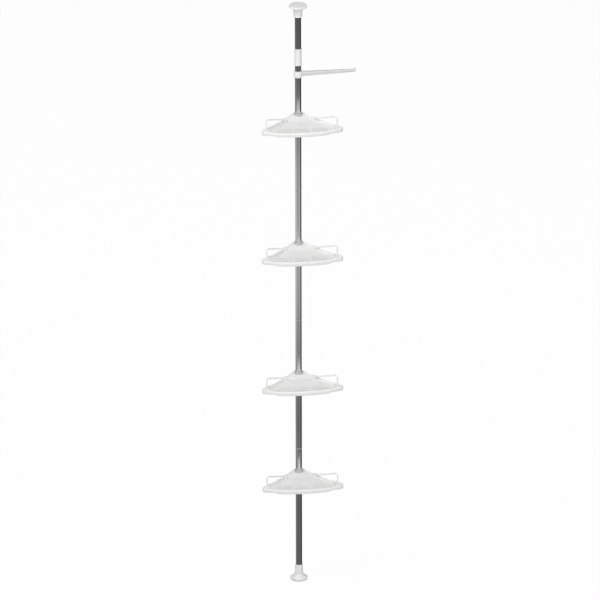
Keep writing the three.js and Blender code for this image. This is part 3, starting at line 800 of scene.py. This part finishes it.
def tray():
    body = tray_shell()
    hub_top = DECK_FRONT - WELD
    hub = turned("hub", [
        (POLE_RADIUS, -BOSS_BOTTOM), (BOSS_RADIUS, -BOSS_BOTTOM),
        (BOSS_RADIUS, hub_top), (POLE_RADIUS, hub_top),
    ])
    cap = ear_cap()
    boss, ear_hole, shoulder_hole = rail_sockets()
    added = [tray_deck(), hub, cap, mirrored(cap, "cap_left"), boss, mirrored(boss, "boss_left")]
    middle = (GUSSET_COUNT - 1) / 2
    added += [gusset(-math.pi / 2 + (i - middle) * GUSSET_SPREAD) for i in range(GUSSET_COUNT)]
    holes = [
        ear_hole, mirrored(ear_hole, "ear_hole_left"),
        shoulder_hole, mirrored(shoulder_hole, "shoulder_hole_left"),
    ]
    bore = clip_bore(CLIP_BOTTOM, CLIP_TOP, CLIP_WALL, CLIP_TAPER)
    combine(body, "UNION", *added)
    combine(body, "DIFFERENCE", bore, *holes, *slot_bodies())
    return smooth(body)


# Towel arm

def towel_arm():
    """Collar and arm in one moulding: a trough that tapers to a solid tip with a small nub."""
    half = ARM_COLLAR_HEIGHT / 2
    outer = SOCKET_RADIUS + ARM_CLIP_WALL + ARM_CLIP_TAPER + CLEARANCE + ARM_COLLAR_WALL
    top = ARM_ROOT_HEIGHT / 2
    nub_start = ARM_REACH - ARM_NUB_LENGTH
    third = ARM_NUB_LENGTH / 3
    bar = side_prism("bar", [
        (POLE_RADIUS, -top), (ARM_REACH - third, top - ARM_TIP_HEIGHT),
        (ARM_REACH, top - ARM_TIP_HEIGHT * 2 / 3), (ARM_REACH, top + ARM_NUB_HEIGHT / 2),
        (ARM_REACH - third, top + ARM_NUB_HEIGHT), (nub_start + third, top + ARM_NUB_HEIGHT),
        (nub_start, top), (POLE_RADIUS, top),
    ], ARM_ROOT_WIDTH)
    plan = prism("plan", [
        (0, -ARM_ROOT_WIDTH / 2), (ARM_REACH, -ARM_TIP_WIDTH / 2),
        (ARM_REACH, ARM_TIP_WIDTH / 2), (0, ARM_ROOT_WIDTH / 2),
    ], -ARM_ROOT_HEIGHT, ARM_ROOT_HEIGHT)
    arm = rounded(combine(bar, "INTERSECT", plan), 2 * EDGE_ROUND)
    collar = rounded(turned("collar", [
        (POLE_RADIUS, -half), (outer, -half), (outer, half), (POLE_RADIUS, half),
    ]))
    root, tip = ARM_ROOT_WIDTH / 2 - ARM_TROUGH_WALL, ARM_TIP_WIDTH / 2 - ARM_TROUGH_WALL
    start, end = outer + ARM_TROUGH_START, ARM_REACH - ARM_TROUGH_END
    trough = prism("trough", [(start, -root), (end, -tip), (end, tip), (start, root)],
                   top - ARM_TROUGH_DEPTH, top + CUT_REACH)
    combine(arm, "UNION", collar)
    combine(arm, "DIFFERENCE", trough, clip_bore(-half, half, ARM_CLIP_WALL, ARM_CLIP_TAPER))
    return smooth(arm)


# Materials

def new_material(name):
    material = bpy.data.materials.new(name)
    material.use_nodes = True
    nodes = material.node_tree.nodes
    return material, nodes, material.node_tree.links, nodes["Principled BSDF"]


def object_noise(nodes, links, scale, detail, stretch=(1, 1, 1)):
    """Noise on Object coordinates, stretched along the axes."""
    place_node = nodes.new("ShaderNodeTexCoord")
    mapping = nodes.new("ShaderNodeMapping")
    mapping.inputs["Scale"].default_value = stretch
    noise = nodes.new("ShaderNodeTexNoise")
    noise.inputs["Scale"].default_value = scale
    noise.inputs["Detail"].default_value = detail
    links.new(place_node.outputs["Object"], mapping.inputs["Vector"])
    links.new(mapping.outputs["Vector"], noise.inputs["Vector"])
    return noise


def clouded(nodes, links, noise, dark, light):
    """A colour that wanders between a dark and a light one with a noise."""
    ramp = nodes.new("ShaderNodeValToRGB")
    ramp.color_ramp.elements[0].position = CLOUD_DARK_END
    ramp.color_ramp.elements[1].position = CLOUD_LIGHT_START
    ramp.color_ramp.elements[0].color = (*dark, 1)
    ramp.color_ramp.elements[1].color = (*light, 1)
    links.new(noise.outputs["Fac"], ramp.inputs["Fac"])
    return ramp.outputs["Color"]


def vary_colour(nodes, links, shader, noise, dark, light):
    links.new(clouded(nodes, links, noise, dark, light), shader.inputs["Base Color"])


def vary_roughness(nodes, links, shader, noise, low, high):
    span = nodes.new("ShaderNodeMapRange")
    span.inputs["To Min"].default_value = low
    span.inputs["To Max"].default_value = high
    links.new(noise.outputs["Fac"], span.inputs["Value"])
    links.new(span.outputs["Result"], shader.inputs["Roughness"])


def add_bump(nodes, links, shader, noise, strength, distance):
    bump = nodes.new("ShaderNodeBump")
    bump.inputs["Strength"].default_value = strength
    bump.inputs["Distance"].default_value = distance
    links.new(noise.outputs["Fac"], bump.inputs["Height"])
    links.new(bump.outputs["Normal"], shader.inputs["Normal"])


def white_plastic():
    """Moulded white plastic: a soft gloss, faint flow clouds and a very fine skin."""
    material, nodes, links, shader = new_material("white_plastic")
    clouds = object_noise(nodes, links, scale=22, detail=3)
    skin = object_noise(nodes, links, scale=900, detail=4)
    vary_colour(nodes, links, shader, clouds, (0.82, 0.82, 0.815), (0.86, 0.86, 0.852))
    vary_roughness(nodes, links, shader, clouds, low=0.3, high=0.42)
    add_bump(nodes, links, shader, skin, strength=0.12, distance=0.0001)
    return material


def arm_plastic_with_painted_shade():
    """The white of the collar, with painted shade along the arm, which is painted a little greyer.
    """
    material, nodes, links, shader = new_material("arm_plastic_with_painted_shade")
    place_node = nodes.new("ShaderNodeTexCoord")
    parts = nodes.new("ShaderNodeSeparateXYZ")
    along = nodes.new("ShaderNodeMapRange")
    along.inputs["From Min"].default_value = ARM_PAINTED_SHADE_START
    along.inputs["From Max"].default_value = ARM_PAINTED_SHADE_END
    links.new(place_node.outputs["Object"], parts.inputs["Vector"])
    links.new(parts.outputs["X"], along.inputs["Value"])
    clouds = object_noise(nodes, links, scale=22, detail=3)
    skin = object_noise(nodes, links, scale=900, detail=4)
    collar_tone = clouded(nodes, links, clouds, (0.84, 0.84, 0.835), (0.88, 0.88, 0.872))
    # Painted shade: the arm is painted greyer than the collar
    arm_painted_shade_tone = clouded(nodes, links, clouds, (0.64, 0.64, 0.636), (0.68, 0.68, 0.675))
    mix = nodes.new("ShaderNodeMix")
    mix.data_type = "RGBA"
    factor, first, second = mix.inputs[0], mix.inputs[6], mix.inputs[7]
    links.new(along.outputs["Result"], factor)
    links.new(collar_tone, first)
    links.new(arm_painted_shade_tone, second)
    links.new(mix.outputs[2], shader.inputs["Base Color"])
    vary_roughness(nodes, links, shader, clouds, low=0.3, high=0.42)
    add_bump(nodes, links, shader, skin, strength=0.12, distance=0.0001)
    return material


def chrome():
    """Chromed tube: polish marks along its length and a slight cloudiness."""
    material, nodes, links, shader = new_material("chrome")
    shader.inputs["Metallic"].default_value = 1
    clouds = object_noise(nodes, links, scale=60, detail=3, stretch=(1, 1, 0.15))
    marks = object_noise(nodes, links, scale=700, detail=3, stretch=(1, 1, 0.01))
    vary_colour(nodes, links, shader, clouds, (0.6, 0.605, 0.615), (0.66, 0.662, 0.67))
    vary_roughness(nodes, links, shader, clouds, low=0.07, high=0.15)
    add_bump(nodes, links, shader, marks, strength=0.04, distance=0.00004)
    return material


def frosted_clip():
    """Frosted plastic."""
    material, nodes, links, shader = new_material("clip_plastic")
    grain = object_noise(nodes, links, scale=400, detail=4)
    vary_colour(nodes, links, shader, grain, (0.47, 0.48, 0.48), (0.52, 0.53, 0.53))
    vary_roughness(nodes, links, shader, grain, low=0.45, high=0.6)
    add_bump(nodes, links, shader, grain, strength=0.15, distance=0.0001)
    return material


def pad_rubber():
    material, nodes, links, shader = new_material("pad_rubber")
    grain = object_noise(nodes, links, scale=500, detail=5)
    vary_colour(nodes, links, shader, grain, (0.68, 0.68, 0.67), (0.75, 0.75, 0.74))
    vary_roughness(nodes, links, shader, grain, low=0.75, high=0.9)
    add_bump(nodes, links, shader, grain, strength=0.35, distance=0.0002)
    return material


def nylon():
    material, nodes, links, shader = new_material("nylon")
    grain = object_noise(nodes, links, scale=300, detail=3)
    vary_colour(nodes, links, shader, grain, (0.66, 0.66, 0.64), (0.72, 0.72, 0.7))
    vary_roughness(nodes, links, shader, grain, low=0.45, high=0.58)
    add_bump(nodes, links, shader, grain, strength=0.1, distance=0.0001)
    return material


def bare_steel():
    """Drawn steel with lengthwise marks."""
    material, nodes, links, shader = new_material("steel")
    shader.inputs["Metallic"].default_value = 1
    marks = object_noise(nodes, links, scale=500, detail=4, stretch=(1, 1, 0.05))
    vary_colour(nodes, links, shader, marks, (0.42, 0.42, 0.43), (0.52, 0.52, 0.53))
    vary_roughness(nodes, links, shader, marks, low=0.28, high=0.42)
    add_bump(nodes, links, shader, marks, strength=0.1, distance=0.00005)
    return material


# Stage

def studio_floor():
    """A pale floor, white to the camera but for the shadow, grey where it lights the object by
    bouncing, and glowing for metal in painted reflections.
    """
    deselect()
    bpy.ops.mesh.primitive_circle_add(
        vertices=FLOOR_SIDES, radius=FLOOR_RADIUS, fill_type="NGON", location=(0, 0, FLOOR_HEIGHT))
    floor = bpy.context.object
    floor.name = "studio_floor"
    place(floor)
    material = bpy.data.materials.new("studio_floor")
    material.use_nodes = True
    nodes, links = material.node_tree.nodes, material.node_tree.links
    nodes.clear()
    path = nodes.new("ShaderNodeLightPath")
    pale = nodes.new("ShaderNodeBsdfDiffuse")
    pale.inputs["Color"].default_value = (FLOOR_PALE, FLOOR_PALE, FLOOR_PALE, 1)
    plain = nodes.new("ShaderNodeEmission")
    backdrop = nodes.new("ShaderNodeMixShader")
    backdrop.inputs["Fac"].default_value = FLOOR_WHITE_SHARE
    links.new(pale.outputs["BSDF"], backdrop.inputs[1])
    links.new(plain.outputs["Emission"], backdrop.inputs[2])
    grey = nodes.new("ShaderNodeBsdfDiffuse")
    grey.inputs["Color"].default_value = (FLOOR_GREY, FLOOR_GREY, FLOOR_GREY, 1)
    to_camera = nodes.new("ShaderNodeMixShader")
    links.new(path.outputs["Is Camera Ray"], to_camera.inputs["Fac"])
    links.new(grey.outputs["BSDF"], to_camera.inputs[1])
    links.new(backdrop.outputs["Shader"], to_camera.inputs[2])
    # Glossy rays see the floor glow: painted reflections in the chrome
    painted_reflection_glow = nodes.new("ShaderNodeEmission")
    painted_reflection_glow.inputs["Strength"].default_value = PAINTED_REFLECTION_STRENGTH
    links.new(painted_reflection_tone(nodes, links), painted_reflection_glow.inputs["Color"])
    to_metal = nodes.new("ShaderNodeMixShader")
    output = nodes.new("ShaderNodeOutputMaterial")
    links.new(path.outputs["Is Glossy Ray"], to_metal.inputs["Fac"])
    links.new(to_camera.outputs["Shader"], to_metal.inputs[1])
    links.new(painted_reflection_glow.outputs["Emission"], to_metal.inputs[2])
    links.new(to_metal.outputs["Shader"], output.inputs["Surface"])
    floor.data.materials.append(material)


def painted_reflection_tone(nodes, links):
    """The floor's painted glow in metal, its painted reflections: its tone by direction times its
    tone by distance.
    """
    place_node = nodes.new("ShaderNodeTexCoord")
    angle = nodes.new("ShaderNodeTexGradient")
    angle.gradient_type = "RADIAL"
    by_angle = nodes.new("ShaderNodeValToRGB")
    set_tones(by_angle.color_ramp, PAINTED_REFLECTION_TONES)
    length = nodes.new("ShaderNodeVectorMath")
    length.operation = "LENGTH"
    distance = nodes.new("ShaderNodeMapRange")
    distance.inputs["From Max"].default_value = FLOOR_REACH
    by_distance = nodes.new("ShaderNodeValToRGB")
    set_tones(by_distance.color_ramp, PAINTED_REFLECTION_DISTANCE_TONES)
    both = nodes.new("ShaderNodeVectorMath")
    both.operation = "MULTIPLY"
    links.new(place_node.outputs["Object"], angle.inputs["Vector"])
    links.new(angle.outputs["Fac"], by_angle.inputs["Fac"])
    links.new(place_node.outputs["Object"], length.inputs[0])
    links.new(length.outputs["Value"], distance.inputs["Value"])
    links.new(distance.outputs["Result"], by_distance.inputs["Fac"])
    links.new(by_angle.outputs["Color"], both.inputs[0])
    links.new(by_distance.outputs["Color"], both.inputs[1])
    return both.outputs["Vector"]


def set_tones(ramp, tones):
    for position, tone in tones[1:-1]:
        ramp.elements.new(position).color = (tone, tone, tone, 1)
    for element, (position, tone) in ((ramp.elements[0], tones[0]), (ramp.elements[-1], tones[-1])):
        element.position = position
        element.color = (tone, tone, tone, 1)


def studio_world():
    world = bpy.data.worlds.new("studio")
    bpy.context.scene.world = world
    world.use_nodes = True
    nodes, links = world.node_tree.nodes, world.node_tree.links
    nodes.clear()
    path = nodes.new("ShaderNodeLightPath")
    ambient = nodes.new("ShaderNodeBackground")
    ambient.inputs["Color"].default_value = (1, 1, 1, 1)
    ambient.inputs["Strength"].default_value = AMBIENT_STRENGTH
    plain = nodes.new("ShaderNodeBackground")
    plain.inputs["Color"].default_value = (1, 1, 1, 1)
    mix = nodes.new("ShaderNodeMixShader")
    output = nodes.new("ShaderNodeOutputWorld")
    links.new(path.outputs["Is Camera Ray"], mix.inputs["Fac"])
    links.new(ambient.outputs["Background"], mix.inputs[1])
    links.new(plain.outputs["Background"], mix.inputs[2])
    links.new(mix.outputs["Shader"], output.inputs["Surface"])


def soft_lamp(name, location, size, energy):
    deselect()
    bpy.ops.object.light_add(type="AREA", location=location)
    lamp = bpy.context.object
    lamp.name = name
    lamp.data.shape = "DISK"
    lamp.data.size = size
    lamp.data.energy = energy
    aim = Vector((0, 0, CENTRE_HEIGHT)) - Vector(location)
    lamp.rotation_euler = aim.to_track_quat("-Z", "Y").to_euler()


def camera():
    back = Vector((
        math.sin(AZIMUTH) * math.cos(ELEVATION),
        -math.cos(AZIMUTH) * math.cos(ELEVATION),
        math.sin(ELEVATION),
    ))
    right = Vector((math.cos(AZIMUTH), math.sin(AZIMUTH), 0))
    up = back.cross(right)
    distance = PIXELS * METRES_PER_PIXEL * LENS / SENSOR
    target = Vector((0, 0, CENTRE_HEIGHT)) + right * CENTRE_SIDE
    turn = Matrix((right, up, back)).transposed() @ Matrix.Rotation(ROLL, 3, "Z")
    deselect()
    bpy.ops.object.camera_add(location=target + back * distance, rotation=turn.to_euler())
    view = bpy.context.object
    view.data.lens = LENS
    view.data.sensor_width = SENSOR
    view.data.clip_end = CLIP_DISTANCES * distance
    bpy.context.scene.camera = view


# Dressing

def dress(piece, material, slot, body, *nodes):
    """Gives a piece its finish, the body that it rides on and the CAD nodes that it stands for."""
    piece.data.materials.clear()
    piece.data.materials.append(material)
    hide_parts(*nodes)
    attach(piece, body)


def finish_node(name, material):
    """Gives a CAD node that stays a better material."""
    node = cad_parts[name]
    node.data.materials.clear()
    node.data.materials.append(material)


def remove(*models):
    for model in models:
        bpy.data.objects.remove(model)


def dress_pole(bright, white, rubber):
    for number in range(1, TUBE_COUNT + 1):
        name = f"pole_tube_{number}"
        dress(pole_tube(name), bright, "chrome", "pole", name)
    dress(pole_tube("upper_tube"), bright, "chrome", "upper_pole", "upper_tube")
    dress(tension_sleeve(), white, "white_plastic", "pole", "tension_sleeve")
    dress(bottom_foot(), white, "white_plastic", "pole", "bottom_foot")
    dress(foot_pad("bottom_foot_pad"), rubber, "pad_rubber", "pole", "bottom_foot_pad")
    dress(top_foot(), white, "white_plastic", "upper_pole", "top_foot")
    dress(foot_pad("top_foot_pad", True), rubber, "pad_rubber", "upper_pole", "top_foot_pad")


def dress_trays(white, frosted):
    """Sets a copy of one tray, its rails and its clip at each tray's height."""
    moulding, right_rail = tray(), rail()
    left_rail = smooth(mirrored(right_rail, "rail_rod_left"))
    right_clip = clip_half("clip", CLIP_BOTTOM, CLIP_TOP, CLIP_WALL, CLIP_TAPER, True)
    left_clip = smooth(mirrored(right_clip, "clip_left"))
    sides = (("left", left_rail, left_clip), ("right", right_rail, right_clip))
    for number in range(1, TRAY_COUNT + 1):
        name = f"tray_{number}"
        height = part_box(name + "_clip_left")[1].z - CLIP_TOP
        dress(raised(moulding, name + "_moulding", height), white, "white_plastic", name, name)
        for side, rail_model, clip_model in sides:
            rail_node, clip_node = f"{name}_rail_{side}", f"{name}_clip_{side}"
            rail_piece = raised(rail_model, rail_node + "_rod", height)
            dress(rail_piece, white, "white_plastic", name, rail_node)
            clip_piece = raised(clip_model, clip_node + "_half", height)
            dress(clip_piece, frosted, "clip_plastic", name + "_clip", clip_node)
    remove(moulding, right_rail, left_rail, right_clip, left_clip)


def dress_arm(white, frosted):
    low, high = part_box("towel_arm_clip_left")
    height = (low.z + high.z) / 2
    arm = towel_arm()
    moulding = raised(arm, "towel_arm_moulding", height)
    # The arm's white carries painted shade along the arm
    dress(moulding, white, "white_plastic", "towel_arm", "towel_arm")
    half = ARM_COLLAR_HEIGHT / 2
    right_clip = clip_half("arm_clip", -half, half, ARM_CLIP_WALL, ARM_CLIP_TAPER, False)
    left_clip = smooth(mirrored(right_clip, "arm_clip_left"))
    for side, model in (("left", left_clip), ("right", right_clip)):
        node = "towel_arm_clip_" + side
        piece = raised(model, node + "_half", height)
        dress(piece, frosted, "clip_plastic", "towel_arm_clip", node)
    remove(arm, right_clip, left_clip)


def dress_inside(plain_nylon, steel):
    """The pieces inside the pole, and a wire coil for the tension spring."""
    for number in range(1, TUBE_COUNT):
        finish_node(f"tube_coupler_{number}", plain_nylon)
    finish_node("spring_plug", plain_nylon)
    for name in ("guide_rod", "guide_rod_rivet", "stop_pin"):
        finish_node(name, steel)
    coil = tension_spring()
    dress(coil, steel, "steel", "pole", "tension_spring")
    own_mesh(coil)


def main():
    white, bright, frosted = white_plastic(), chrome(), frosted_clip()
    rubber, plain_nylon, steel, arm_white_with_painted_shade = pad_rubber(), nylon(), bare_steel(), arm_plastic_with_painted_shade()
    dress_pole(bright, white, rubber)
    dress_trays(white, frosted)
    dress_arm(arm_white_with_painted_shade, frosted)
    dress_inside(plain_nylon, steel)
    studio_floor()
    studio_world()
    soft_lamp("key", (-3, -3, 8), size=4, energy=250)
    soft_lamp("front", (1, -8, 2.5), size=4, energy=180)
    camera()
    bpy.context.scene.view_settings.view_transform = "Standard"


main()
